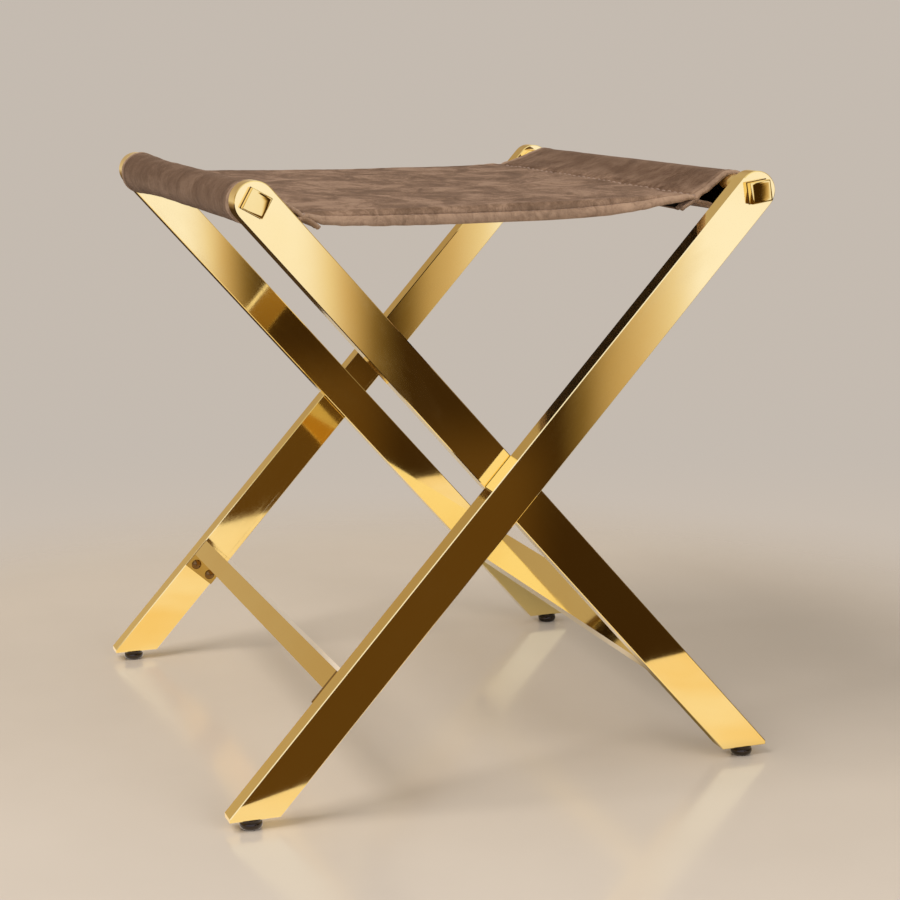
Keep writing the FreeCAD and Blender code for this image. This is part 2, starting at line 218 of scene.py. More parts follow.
def brassMaterial(name, look, slope=0.0):
    material, maker = newMaterial(name)
    place = maker.value(maker.add("ShaderNodeTexCoord"), "Object")
    turned = maker.value(maker.add("ShaderNodeMapping", None, {
        "Vector": place, "Rotation": (0, slope, 0)}))
    cloud = maker.noise(place, 9, 4, 0.55)
    smear = maker.noise(maker.scaled(turned, (22, 22, 7)), 1.0, 6, 0.65, 0.8)
    rub = maker.noise(maker.scaled(turned, (1100, 1100, 30)), 1.0, 2, 0.5)
    tone = maker.mix(maker.ramp(cloud, 0.35, 0.7), look["tone"], look["deepTone"])
    rough = look["gloss"] + maker.ramp(smear, 0.42, 0.8) * look["haze"] + rub * 0.012
    wave = maker.bump(maker.noise(place, 13, 1, 0.4), look["wave"], 0.3)
    normal = maker.bump(rub, look["rub"], 0.4, wave)
    finishSurface(maker, {"Base Color": tone, "Metallic": 1.0, "Roughness": rough,
                          "Normal": normal})
    return material


# Suede: short nap in soft patches, on the cloth's own flat coordinates
suedeLook = {"dark": (0.084, 0.044, 0.023), "middle": (0.160, 0.092, 0.055),
             "light": (0.272, 0.172, 0.112), "lipLight": (0.44, 0.295, 0.20), "lipLightFrom": 0.174,
             "sheen": 0.22, "relief": 0.0009}
# The back of the suede: painted shade, near black, standing in for the sling's shaded underside
suedeBackShadeLook = {"dark": (0.014, 0.007, 0.004), "middle": (0.022, 0.012, 0.007),
                 "light": (0.036, 0.020, 0.013), "lipLight": (0.04, 0.022, 0.014),
                 "lipLightFrom": 0.174, "sheen": 0.05, "relief": 0.0002}


def suedeMaterial(name, look):
    material, maker = newMaterial(name)
    flat = maker.value(maker.add("ShaderNodeUVMap"))
    patches = maker.noise(maker.scaled(flat, (27, 20, 1)), 1.0, 6, 0.72, 0.7)
    swirls = maker.noise(maker.scaled(flat, (122, 120, 1)), 1.0, 5, 0.66, 1.2)
    strokes = maker.noise(maker.scaled(flat, (55, 230, 1)), 1.0, 4, 0.62, 1.4)
    nap = maker.noise(flat, 900, 3, 0.65)
    shade = patches * 0.55 + swirls * 0.22 + strokes * 0.08 + nap * 0.15
    colour = maker.value(maker.add("ShaderNodeValToRGB", {"stops": [
        (0.445, look["dark"]), (0.5, look["middle"]), (0.562, look["light"])]}, {"Fac": shade}))
    split = maker.add("ShaderNodeSeparateXYZ", None, {0: flat})
    fromCentre = maker.value(maker.add("ShaderNodeMath", {"operation": "ABSOLUTE"}, {
        0: maker.value(split, 0)}))
    # Painted shade: the rolls' cloth beyond the seams is darkened towards the dark colour
    rollShade = maker.ramp(fromCentre, 0.150, 0.168, (0, 0.55))
    colour = maker.mix(rollShade, colour, look["dark"])
    # Painted light: the cloth near the seat's edges, where the lip turns down, is lightened in
    # swirling patches
    fromMiddle = maker.value(maker.add("ShaderNodeMath", {"operation": "ABSOLUTE"}, {
        0: maker.value(split, 1)}))
    lipLight = maker.ramp(fromMiddle, look["lipLightFrom"], look["lipLightFrom"] + 0.012, (0, 0.75))
    colour = maker.mix(lipLight * swirls * 1.6, colour, look["lipLight"])
    height = nap * 0.4 + swirls * 1.1 + strokes * 0.5 + patches * 0.9
    normal = maker.bump(height, look["relief"], 0.8)
    finishSurface(maker, {"Base Color": colour, "Roughness": 0.95,
                          "Sheen Weight": look["sheen"], "Sheen Roughness": 0.5,
                          "Sheen Tint": (0.82, 0.58, 0.42, 1), "Specular IOR Level": 0.15,
                          "Normal": normal})
    return material


# Thread: a twisted yarn, lighter than the suede
def threadMaterial(name, dark, light):
    material, maker = newMaterial(name)
    place = maker.value(maker.add("ShaderNodeTexCoord"), "Object")
    twist = maker.value(maker.add("ShaderNodeTexWave", {"bands_direction": "DIAGONAL"}, {
        "Vector": place, "Scale": 900, "Distortion": 2.0}), "Fac")
    colour = maker.mix(twist, dark, light)
    normal = maker.bump(twist, 0.0001, 0.5)
    finishSurface(maker, {"Base Color": colour, "Roughness": 0.7, "Normal": normal})
    return material


# Glossy black glide with a few scuffs
def glideMaterial(name):
    material, maker = newMaterial(name)
    place = maker.value(maker.add("ShaderNodeTexCoord"), "Object")
    scuff = maker.ramp(maker.noise(maker.scaled(place, (200, 200, 900)), 1.0, 5, 0.6), 0.5, 0.72)
    colour = maker.mix(scuff, (0.008, 0.006, 0.005), (0.022, 0.017, 0.014))
    normal = maker.bump(maker.noise(place, 700, 2), 0.00008, 0.4)
    finishSurface(maker, {"Base Color": colour, "Roughness": 0.07 + scuff * 0.2,
                          "Specular IOR Level": 0.6, "Specular Tint": (0.9, 0.72, 0.55, 1),
                          "Normal": normal})
    return material


def steelMaterial(name):
    material, maker = newMaterial(name)
    place = maker.value(maker.add("ShaderNodeTexCoord"), "Object")
    ground = maker.noise(maker.scaled(place, (900, 60, 900)), 1.0, 4, 0.6)
    colour = maker.mix(ground, (0.52, 0.52, 0.52), (0.68, 0.67, 0.65))
    finishSurface(maker, {"Base Color": colour, "Metallic": 1.0,
                          "Roughness": 0.25 + ground * 0.15,
                          "Normal": maker.bump(ground, 0.00005, 0.4)})
    return material


def nylonMaterial(name):
    material, maker = newMaterial(name)
    place = maker.value(maker.add("ShaderNodeTexCoord"), "Object")
    cloud = maker.noise(place, 120, 4, 0.6)
    colour = maker.mix(cloud, (0.70, 0.68, 0.62), (0.80, 0.78, 0.73))
    finishSurface(maker, {"Base Color": colour, "Roughness": 0.45 + cloud * 0.15,
                          "Normal": maker.bump(cloud, 0.0001, 0.4)})
    return material


lean = math.atan2(0.188, 0.211)
outerBrass = brassMaterial("outerBrass", brassLook, -lean)
innerBrass = brassMaterial("innerBrass", brassLook, lean)
rodBrass = brassMaterial("rodBrass", brassLook, math.pi / 2)
# End plates: a darker brass tone painted on as the plates' dark reflections and shade
plateShadeLook = {"tone": (0.50, 0.33, 0.08), "deepTone": (0.30, 0.18, 0.04), "gloss": 0.10,
             "haze": 0.12, "rub": 0.00001, "wave": 0.0002}
# Dark brass for the screws, also used for the caps' painted shadow lines
screwLook = {"tone": (0.20, 0.11, 0.035), "deepTone": (0.11, 0.055, 0.018), "gloss": 0.12,
             "haze": 0.12, "rub": 0.00001, "wave": 0.0002}
capLook = dict(brassLook, tone=(0.96, 0.75, 0.29), deepTone=(0.90, 0.66, 0.21))
capBrass = brassMaterial("capBrass", capLook)
plateBrass = brassMaterial("plateBrass", plateShadeLook)
screwBrassAndShadowLine = brassMaterial("screwBrassAndShadowLine", screwLook)
suede = suedeMaterial("suede", suedeLook)
suedeBackShade = suedeMaterial("suedeBackShade", suedeBackShadeLook)
hemThread = threadMaterial("hemThread", (0.17, 0.105, 0.07), (0.40, 0.28, 0.20))
seamThread = threadMaterial("seamThread", (0.22, 0.14, 0.10), (0.46, 0.33, 0.25))
blackGlide = glideMaterial("blackGlide")
groundSteel = steelMaterial("groundSteel")
whiteNylon = nylonMaterial("whiteNylon")


def dress(piece, material):
    piece.data.materials.clear()
    piece.data.materials.append(material)


for nodeName, node in nodes.items():
    if "glide" in nodeName:
        dress(node, blackGlide)
    elif "pin" in nodeName:
        dress(node, groundSteel)
    elif "washer" in nodeName:
        dress(node, whiteNylon)
    elif "screws" in nodeName:
        dress(node, screwBrassAndShadowLine)
    elif "plate" in nodeName:
        dress(node, plateBrass)
    elif "rod" in nodeName or "bolt" in nodeName:
        dress(node, rodBrass)
    elif nodeName.startswith("outer"):
        dress(node, outerBrass)
    else:
        dress(node, innerBrass)
print("metal finished")


# Sling: one strip of suede from the left pocket's tail, round the rod, over the seat and round
# the right rod to its own tail. Lengths in this dictionary are in millimetres.
sling = {
    "thickness": 2.0,
    "tail": 11.0, "tailDrop": 7.0, "flare": 2.0, "flareLength": 120.0,
    "layerGap": 2.3,
    "leftSeam": (40.0, 40.0), "leftDrop": (10.2, 1.4),
    "rightSeam": (31.0, 43.0), "rightDrop": (4.7, 0.8),
    "sagNear": 1.5, "sagMiddle": 3.0, "sagFar": 1.2, "sagPeak": 0.6,
    "lipWidth": 15.0, "lipFlat": 3.0, "farLip": 0.6,
    "hemLine": 6.5, "hemWidth": 10.0, "hemGap": 2.1, "tightHemGap": 1.0,
    "seamPitch": 9.5,
    "steps": {"tail": 8, "lower": 12, "round": 36, "upper": 14, "seat": 168},
    "rows": 112,
}


class Roll:
    def __init__(self, side, rodNode, pocketNode):
        low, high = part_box(pocketNode)
        rodLow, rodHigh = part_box(rodNode)
        self.side = side
        self.rodAcross = (rodLow.x + rodHigh.x) / 2 / mm
        self.rodUp = (rodLow.z + rodHigh.z) / 2 / mm
        self.radius = (high.z - low.z) / 2 / mm - sling["thickness"] / 2
        self.up = (high.z + low.z) / 2 / mm
        self.nearEdge = low.y / mm
        self.farEdge = high.y / mm


leftRoll = Roll(-1, "left_rod", "left_pocket")
rightRoll = Roll(1, "right_rod", "right_pocket")
halfDepth = (leftRoll.farEdge - leftRoll.nearEdge) / 2


def along(first, last, share):
    return first + (last - first) * share


def smooth(value):
    value = max(0.0, min(1.0, value))
    return value * value * (3 - 2 * value)


# The seam's place on one side at a depth, from its near and far ends
def seamPoint(roll, share):
    seam = sling["leftSeam"] if roll.side < 0 else sling["rightSeam"]
    drop = sling["leftDrop"] if roll.side < 0 else sling["rightDrop"]
    fade = (1 - share) ** 1.5
    across = roll.rodAcross - roll.side * along(seam[1], seam[0], 1 - share)
    return across, roll.rodUp - along(drop[1], drop[0], fade) - sling["thickness"] / 2


# The pocket from its tail to the seam: tail, lower layer, round the rod, upper layer
def pocketPath(roll, share):
    steps = sling["steps"]
    across, up = seamPoint(roll, share)
    under = up - sling["layerGap"]
    toward = -roll.side
    points = []
    for step in range(steps["tail"]):
        rest = 1 - step / steps["tail"]
        droop = sling["tailDrop"] * rest ** 1.4
        points.append((across + toward * sling["tail"] * rest, under - droop))

    def leavePoint(pointUp, sign):
        offAcross = (across - roll.rodAcross) * toward
        offUp = pointUp - roll.up
        distance = math.hypot(offAcross, offUp)
        angle = math.atan2(offUp, offAcross)
        return angle + sign * math.acos(roll.radius / distance)

    lowAngle = leavePoint(under, -1)
    highAngle = leavePoint(up, 1) - 2 * math.pi

    def onRoll(angle):
        return (roll.rodAcross + toward * roll.radius * math.cos(angle),
                roll.up + roll.radius * math.sin(angle))

    low = onRoll(lowAngle)
    high = onRoll(highAngle)
    for step in range(steps["lower"]):
        part = step / steps["lower"]
        belly = 0.8 * math.sin(math.pi * part)
        points.append((along(across, low[0], part), along(under, low[1], part) - belly))
    for step in range(steps["round"]):
        points.append(onRoll(along(lowAngle, highAngle, step / steps["round"])))
    for step in range(steps["upper"] + 1):
        part = step / steps["upper"]
        belly = 0.9 * math.sin(math.pi * part) ** 2
        points.append((along(high[0], across, part), along(high[1], up, part) - belly))
    return points


# How slack the cloth is along the seat, 0 at the seams and 1 where it hangs most
def slackness(place):
    peak = sling["sagPeak"]
    if place < peak:
        return (place / peak) ** 0.36
    return max(0.0, math.cos(math.pi / 2 * (place - peak) / (1 - peak))) ** 1.2


# How far the seat hangs below the straight line between its seams
def seatSag(place, share):
    even = 4 * place * (1 - place)
    shape = along(even, slackness(place), (1 - share) ** 3)
    if share < 0.5:
        return shape * along(sling["sagNear"], sling["sagMiddle"], share * 2)
    return shape * along(sling["sagMiddle"], sling["sagFar"], share * 2 - 1)


# One line of points across the whole sling at a share of its depth
def slingPath(share):
    left = pocketPath(leftRoll, share)
    right = pocketPath(rightRoll, share)
    first = left[-1]
    last = right[-1]
    seat = []
    count = sling["steps"]["seat"]
    for step in range(1, count):
        place = step / count
        across = along(first[0], last[0], place)
        seat.append((across, along(first[1], last[1], place) - seatSag(place, share)))
    return left + seat + list(reversed(right))


def pathNormals(points):
    normals = []
    for index in range(len(points)):
        before = points[max(index - 1, 0)]
        after = points[min(index + 1, len(points) - 1)]
        run = (after[0] - before[0], after[1] - before[1])
        length = math.hypot(*run) or 1.0
        normals.append((-run[1] / length, run[0] / length))
    return normals


# The length of the path up to each of its points, counted from the middle of the seat
def pathLengths(points):
    lengths = [0.0]
    for before, after in zip(points, points[1:]):
        lengths.append(lengths[-1] + math.hypot(after[0] - before[0], after[1] - before[1]))
    middle = lengths[len(points) // 2]
    return [length - middle for length in lengths]


# Columns of the cloth, counted along the path from the left tail
roundStart = sling["steps"]["tail"] + sling["steps"]["lower"]
seatStart = roundStart + sling["steps"]["round"] + sling["steps"]["upper"]
seatEnd = seatStart + sling["steps"]["seat"]
columns = seatEnd + seatStart


# 1 on the seat, 0 in the pockets, with a short change at the seams
def onSeat(column):
    return smooth(min(column - seatStart, seatEnd - column) / 8)


# The rows from the near hem's inner edge, round its fold, over the cloth to the far hem.
# Each is the distance from the edge along the cloth and how deep the row lies in the hem.
def hemRows(sign):
    rows = []
    for step in range(4):
        rows.append((sign, along(sling["hemWidth"], 1.0, step / 4), 1.0))
    for step in range(5):
        turn = math.pi * step / 5
        rows.append((sign, 1.0 - math.sin(turn), (1 + math.cos(turn)) / 2))
    return rows


def clothRows():
    rows = hemRows(-1)
    near = [1.0, 2.0, 3.0, 4.1, 5.2, 5.9, 6.5, 7.1, 7.8, 8.8, 10.0, 11.4, 13.0, 15.0, 17.4]
    for distance in near:
        rows.append((-1, distance, 0.0))
    middle = sling["rows"] - 2 * len(near)
    for step in range(1, middle):
        distance = along(near[-1], 2 * halfDepth - near[-1], step / middle)
        rows.append((-1, distance, 0.0))
    for distance in reversed(near):
        rows.append((1, distance, 0.0))
    return rows + list(reversed(hemRows(1)))


# The lip where an edge of the seat turns down: its slope at a distance from the edge, and how
# far out and down that place lies from where the lip begins
def lipShape(distance, amount):
    width = sling["lipWidth"]

    def slope(place):
        fade = 1 - smooth((place - sling["lipFlat"]) / (width - sling["lipFlat"]))
        return math.pi / 2 * amount * fade

    count = 10
    step = max(0.0, width - distance) / count
    out = 0.0
    down = 0.0
    for index in range(count):
        angle = slope(width - (index + 0.5) * step)
        out = out + step * math.cos(angle)
        down = down + step * math.sin(angle)
    return slope(distance), out, down


def wave(across, depth, seed):
    return noise.noise(Vector((across, depth, seed)))


# Soft creases: long ones along the pull, gathers at the edges and seams, and the rolls' own
def creaseHeight(around, depth, seatShare, fromEdge, fromSeam):
    long = wave(around * 0.006, depth * 0.05, 3.1) * 0.9
    ridge = (1 - abs(wave(around * 0.008, depth * 0.03, 9.2))) ** 5 * 0.5
    fine = wave(around * 0.03, depth * 0.16, 7.7) * 0.25
    pucker = wave(around * 0.16, depth * 0.03, 1.3) * math.exp(-fromEdge / 8) * 0.75
    gather = wave(around * 0.03, depth * 0.13, 4.4) * math.exp(-fromSeam / 13) * 0.7
    roll = abs(wave(around * 0.05, depth * 0.025, 5.5)) * 0.6
    ring = wave(around * 0.12, depth * 0.05, 6.1) * math.exp(-fromEdge / 9) * 0.6
    return (long + ridge + fine) * seatShare + pucker + gather + (roll + ring) * (1 - seatShare)


# The puff and the groove that a stitch row makes along an edge
def hemRelief(fromEdge, seatShare):
    line = sling["hemLine"]
    relief = 0.0
    if fromEdge < line:
        relief = 0.9 * math.sin(math.pi * fromEdge / line) ** 2
    elif fromEdge < sling["lipWidth"]:
        relief = 0.8 * math.sin(math.pi * (fromEdge - line) / (sling["lipWidth"] - line))
    return relief * along(0.6, 1.0, seatShare) - 0.95 * math.exp(-(fromEdge - line) ** 2)


# The left roll widens towards its far end
def rollFlare(column, fromFar):
    aside = smooth((seatStart - column) / 14) if column < seatStart else 0.0
    return sling["flare"] * aside * smooth(1 - fromFar / sling["flareLength"])


# The dent of a seam, deeper in the gaps between its stitches
def seamRelief(fromSeam, distance):
    between = math.cos(math.pi * distance / sling["seamPitch"]) ** 2
    return -(0.5 + 0.9 * between) * math.exp(-(fromSeam / 1.5) ** 2)


rowList = clothRows()
pathCache = {}


def pathAt(share):
    key = round(share, 5)
    if key not in pathCache:
        points = slingPath(share)
        pathCache[key] = (points, pathNormals(points), pathLengths(points))
    return pathCache[key]


# The point of the cloth's middle surface at a column and a row, lifted along its normal
def clothPoint(column, row, lift=0.0):
    sign, distance, hem = row
    share = distance / (2 * halfDepth)
    if sign > 0:
        share = 1 - share
    points, normals, lengths = pathAt(share)
    low = int(math.floor(column))
    high = min(low + 1, len(points) - 1)
    part = column - low
    across = along(points[low][0], points[high][0], part)
    up = along(points[low][1], points[high][1], part)
    around = along(lengths[low], lengths[high], part)
    pathNormal = Vector((along(normals[low][0], normals[high][0], part), 0,
                         along(normals[low][1], normals[high][1], part)))
    seatShare = onSeat(column)
    fromEdge = min(distance, 2 * halfDepth - distance)
    fromSeam = min(abs(column - seatStart), abs(column - seatEnd)) * 1.8
    place = min(1.0, max(0.0, (column - seatStart) / sling["steps"]["seat"]))
    isNear = (sign < 0) == (distance < halfDepth)
    amount = slackness(place) ** 1.2 * seatShare
    if not isNear:
        amount = amount * sling["farLip"]
    slope, out, down = lipShape(fromEdge, amount)
    outward = Vector((0, -1 if isNear else 1, 0))
    base = Vector((across, 0, up))
    if fromEdge < sling["lipWidth"]:
        base = base + outward * (halfDepth - sling["lipWidth"] + out) - pathNormal * down
    else:
        base = base + outward * (halfDepth - fromEdge)
    normal = pathNormal * math.cos(slope) + outward * math.sin(slope)
    offset = creaseHeight(around, base.y, seatShare, fromEdge, fromSeam)
    offset = offset + hemRelief(fromEdge, seatShare) + seamRelief(fromSeam, distance)
    offset = offset + rollFlare(column, distance if sign > 0 else 2 * halfDepth - distance)
    if hem > 0:
        gap = along(sling["tightHemGap"], sling["hemGap"], max(seatShare, 0.0))
        offset = offset - gap * hem
    return (base + normal * (offset + lift)) * mm


def makeSling():
    rows = len(rowList) - 1
    bpy.ops.object.select_all(action="DESELECT")
    bpy.ops.mesh.primitive_grid_add(x_subdivisions=columns, y_subdivisions=rows, size=2)
    cloth = bpy.context.object
    cloth.name = "sling_seat"
    flat = []
    for vertex in cloth.data.vertices:
        column = int(round((vertex.co.x + 1) / 2 * columns))
        sign, distance, hem = rowList[int(round((vertex.co.y + 1) / 2 * rows))]
        share = distance / (2 * halfDepth)
        around = pathAt(share if sign < 0 else 1 - share)[2][column]
        depth = distance if hem < 0.5 else -distance
        flat.append((around * mm, (depth - halfDepth) * mm * -sign))
        vertex.co = clothPoint(column, (sign, distance, hem))
    uv = cloth.data.uv_layers.active.data
    for loop in cloth.data.loops:
        uv[loop.index].uv = flat[loop.vertex_index]
    cloth.data.update()
    area = sum(face.area for face in cloth.data.polygons)
    dress(cloth, suede)
    # The back faces of the solid cloth take the painted-shade suede
    cloth.data.materials.append(suedeBackShade)
    solid = cloth.modifiers.new("cloth", "SOLIDIFY")
    solid.thickness = sling["thickness"] * mm
    solid.offset = 0
    solid.material_offset = 1
    applyModifiers(cloth)
    bpy.ops.object.shade_smooth()
    return cloth, area


slingCloth, slingArea = makeSling()
print("sling modelled", round(slingArea, 4), len(slingCloth.data.polygons))


# One stitch: a small bead of thread, drawn out, with its ends dipping into the cloth
def makeStitch(length, width, height):
    bpy.ops.object.select_all(action="DESELECT")
    bpy.ops.mesh.primitive_uv_sphere_add(segments=8, ring_count=7, radius=0.5)
    stitch = bpy.context.object
    bpy.ops.object.mode_set(mode="EDIT")
    bpy.ops.mesh.select_all(action="SELECT")
    bpy.ops.transform.rotate(value=math.pi / 2, orient_axis="Y", center_override=(0, 0, 0))
    bpy.ops.transform.resize(value=(length * mm, width * mm, height * mm))
    bpy.ops.object.mode_set(mode="OBJECT")
    for vertex in stitch.data.vertices:
        reach = 2 * vertex.co.x / (length * mm)
        vertex.co.z = vertex.co.z - 0.45 * height * mm * reach ** 2
    return stitch


# Copies of one stitch, each laid at a point along a direction with its flat side down
def layStitches(name, places, thread, length, width=1.0, height=0.9):
    model = makeStitch(length, width, height)
    copies = []
    for middle, run, up in places:
        run = run.normalized()
        side = up.cross(run).normalized()
        top = run.cross(side).normalized()
        copy = model.copy()
        copy.data = model.data.copy()
        bpy.context.collection.objects.link(copy)
        for vertex in copy.data.vertices:
            flat = vertex.co.copy()
            vertex.co = middle + run * flat.x + side * flat.y + top * flat.z
        copies.append(copy)
    bpy.data.objects.remove(model)
    row = joined(copies, name)
    pick(row)
    bpy.ops.object.shade_smooth()
    dress(row, thread)
    return row


# A line of stitches from one place on the cloth to another; places are column and edge distance
def stitchLine(first, last, sign, count, lift):
    places = []
    for step in range(count):
        share = (step + 0.5) / count
        reach = 0.02 / count
        column = along(first[0], last[0], share)
        distance = along(first[1], last[1], share)
        middle = clothPoint(column, (sign, distance, 0.0), lift)
        before = clothPoint(along(first[0], last[0], share - reach),
                            (sign, along(first[1], last[1], share - reach), 0.0), lift)
        after = clothPoint(along(first[0], last[0], share + reach),
                           (sign, along(first[1], last[1], share + reach), 0.0), lift)
        above = clothPoint(column, (sign, distance, 0.0), lift + 0.5)
        places.append((middle, after - before, above - middle))
    return places


stitching = {"hemPitch": 5.2, "hemLength": 3.6, "hemLift": 1.0, "pocketLength": 118,
             "seamLength": 6.2, "seamLift": 1.3}


def makeStitching():
    lift = stitching["hemLift"]
    line = sling["hemLine"]
    width = 2 * halfDepth
    seatLength = rightRoll.rodAcross - leftRoll.rodAcross
    seatLength = seatLength - sling["leftSeam"][0] - sling["rightSeam"][0]
    seatCount = int(seatLength / stitching["hemPitch"])
    pocketCount = int(stitching["pocketLength"] / stitching["hemPitch"])
    pieces = []
    for sign, sideName in ((-1, "near"), (1, "far")):
        places = stitchLine((seatStart + 1, line), (seatEnd - 1, line), sign, seatCount, lift)
        places += stitchLine((roundStart - 6, line), (seatStart - 1, line), sign,
                             pocketCount, lift)
        places += stitchLine((seatEnd + 1, line), (columns - roundStart + 6, line), sign,
                             pocketCount, lift)
        pieces.append(layStitches("hem_stitches_" + sideName, places, hemThread,
                                  stitching["hemLength"]))
    pitch = sling["seamPitch"]
    seamCount = int((width - 2 * pitch) / pitch)
    start = pitch
    for column, sideName in ((seatStart, "left"), (seatEnd, "right")):
        places = stitchLine((column, start), (column, start + seamCount * pitch), -1,
                            seamCount, stitching["seamLift"])
        pieces.append(layStitches("seam_stitches_" + sideName, places, seamThread,
                                  stitching["seamLength"], 1.2, 1.1))
    return pieces


slingTrim = makeStitching()
print("stitching laid")


# Bar tacks: a few tight cross stitches that bind each end of a seam
tack = {"count": 5, "start": 1.6, "pitch": 1.0, "lift": 1.3, "above": 1.8,
        "length": 4.6, "width": 0.9, "height": 0.8}


def makeTacks():
    places = []
    for column in (seatStart, seatEnd):
        for sign in (-1, 1):
            for step in range(tack["count"]):
                distance = tack["start"] + step * tack["pitch"]
                middle = clothPoint(column, (sign, distance, 0.0), tack["lift"])
                above = clothPoint(column, (sign, distance, 0.0), tack["above"])
                places.append((middle, Vector((1, 0, 0)), above - middle))
    return layStitches("bar_tacks", places, seamThread, tack["length"], tack["width"],
                       tack["height"])


slingTrim.append(makeTacks())


# Cap bolts' heads: a square block with softened edges and a softly pillowed face, over a thin
# dark plate where it meets the leg, painted as the shadow line round the head. Insets are each
# step's width and rise, in millimetres.
cap = {"side": 16.0, "proud": 7.4, "edge": 0.6, "line": 0.3,
       "insets": ((0.7, 0.28), (1.3, 0.16), (2.0, 0.12), (2.0, 0.05))}


def makeCap(name, nodeName, body, turn, tilt=0.0):
    low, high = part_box(nodeName)
    isFront = high.y < 0
    across = (low.x + high.x) / 2
    up = (low.z + high.z) / 2
    outer = low.y if isFront else high.y
    facing = -1 if isFront else 1
    bpy.ops.object.select_all(action="DESELECT")
    bpy.ops.mesh.primitive_cube_add(size=1)
    head = bpy.context.object
    head.name = name
    bpy.ops.object.mode_set(mode="EDIT")
    bpy.ops.mesh.select_all(action="SELECT")
    depth = cap["proud"] - sum(rise for inset, rise in cap["insets"])
    bpy.ops.transform.resize(value=(cap["side"] * mm, depth * mm, cap["side"] * mm))
    bpy.ops.transform.translate(value=(0, -depth * mm / 2, 0))
    choose(head, "FACE", lambda face: face.normal.y < -0.9)
    for inset, rise in cap["insets"]:
        bpy.ops.mesh.inset(thickness=inset * mm, depth=rise * mm)
    bpy.ops.object.mode_set(mode="OBJECT")
    soften = head.modifiers.new("soften", "BEVEL")
    soften.width = cap["edge"] * mm
    soften.segments = 3
    soften.limit_method = "ANGLE"
    soften.angle_limit = math.radians(50)
    applyModifiers(head)
    dress(head, capBrass)
    # Painted shadow: a thin dark plate a little wider than the head, drawn as the shadow line
    # where the cap meets the leg
    bpy.ops.mesh.primitive_cube_add(size=1)
    line = bpy.context.object
    bpy.ops.object.mode_set(mode="EDIT")
    bpy.ops.mesh.select_all(action="SELECT")
    wide = (cap["side"] + 2 * cap["line"]) * mm
    bpy.ops.transform.resize(value=(wide, 0.2 * mm, wide))
    bpy.ops.transform.translate(value=(0, -0.1 * mm, 0))
    bpy.ops.object.mode_set(mode="OBJECT")
    dress(line, screwBrassAndShadowLine)
    joined([head, line], name)
    angle = math.radians(turn)
    cosine, sine = math.cos(angle), math.sin(angle)
    for vertex in head.data.vertices:
        x, y, z = vertex.co
        x, z = x * cosine + z * sine, -x * sine + z * cosine
        if y < -depth * mm / 2:
            y = y + x * math.tan(math.radians(tilt))
        if not isFront:
            x, y = -x, -y
        seat = outer - facing * cap["proud"] * mm
        vertex.co = (across + x, seat + y, up + z)
    bpy.ops.object.shade_smooth_by_angle(angle=math.radians(40))
    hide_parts(nodeName)
    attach(head, body)
    return head


# Each cap's turn about its bolt in degrees, and the lean of its face
makeCap("right_cap_front", "right_cap_bolt_front", "outer_frame", -10, -5.2)
makeCap("right_cap_back", "right_cap_bolt_back", "outer_frame", 17)
makeCap("left_cap_front", "left_cap_bolt_front", "inner_frame", 29)
makeCap("left_cap_back", "left_cap_bolt_back", "inner_frame", -38)
print("caps modelled")

# Glides: moulded pads with a rounded tread, a groove and a collar; each ring's radius and height
glide = {"rings": ((5.6, 0.0), (7.2, 0.4), (8.0, 1.3), (8.4, 2.7), (8.4, 4.3), (8.0, 5.0),
                   (7.5, 5.3), (7.5, 5.8), (7.9, 6.1), (8.1, 6.7), (8.1, 8.0)),
         "sides": 48}


def makeGlide(nodeName, body):
    low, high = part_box(nodeName)
    rings = glide["rings"]
    bpy.ops.object.select_all(action="DESELECT")
    bpy.ops.mesh.primitive_circle_add(vertices=glide["sides"], radius=rings[0][0] * mm,
                                      fill_type="NGON")
    pad = bpy.context.object
    pad.name = nodeName.replace("glide", "pad")
    bpy.ops.object.mode_set(mode="EDIT")
    bpy.ops.mesh.select_all(action="SELECT")
    for (radius, height), (nextRadius, nextHeight) in zip(rings, rings[1:]):
        bpy.ops.mesh.extrude_region()
        bpy.ops.transform.translate(value=(0, 0, (nextHeight - height) * mm))
        ratio = nextRadius / radius
        bpy.ops.transform.resize(value=(ratio, ratio, 1), center_override=(0, 0, nextHeight * mm))
    bpy.ops.mesh.select_all(action="SELECT")
    bpy.ops.mesh.normals_make_consistent(inside=False)
    across = (low.x + high.x) / 2
    depth = (low.y + high.y) / 2
    bpy.ops.transform.translate(value=(across, depth, low.z))
    bpy.ops.object.mode_set(mode="OBJECT")
    bpy.ops.object.shade_smooth_by_angle(angle=math.radians(38))
    dress(pad, blackGlide)
    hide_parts(nodeName)
    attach(pad, body)


for frameName in ("outer", "inner"):
    for sideName in ("front", "back"):
        makeGlide(frameName + "_glide_" + sideName, frameName + "_frame")
print("glides modelled")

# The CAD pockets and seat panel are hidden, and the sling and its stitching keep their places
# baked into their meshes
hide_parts("left_pocket", "right_pocket", "seat_panel")
for soft in [slingCloth] + slingTrim:
    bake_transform(soft)


# Floor and backdrop, pale and plain. The floor fades into a backdrop of its own tone.
studio = {
    "floor": (0.69, 0.615, 0.54), "floorShade": (0.62, 0.55, 0.48),
    "backdropLow": (0.585, 0.51, 0.435), "backdropHigh": (0.555, 0.495, 0.435),
    "fadeStart": 0.50, "fadeEnd": 0.85,
    "patchEdge": ((-1.5, -0.14), (-0.4, -0.17), (-0.189, -0.278), (-0.138, -0.304),
                  (0.0, -0.285), (0.064, -0.325), (0.238, -0.46), (0.284, -0.474),
                  (0.6, -0.574), (1.5, -0.80)),
    "patchBack": 1.0, "patchHeight": 0.0005, "footShade": (0.205, -0.11, 0.0005),
    "cardDepth": -1.77,
}


# Only polished surfaces see this piece of the stage
def onlyMirrored(piece):
    for kind in ("camera", "diffuse", "shadow", "transmission", "volume_scatter"):
        setattr(piece, "visible_" + kind, False)


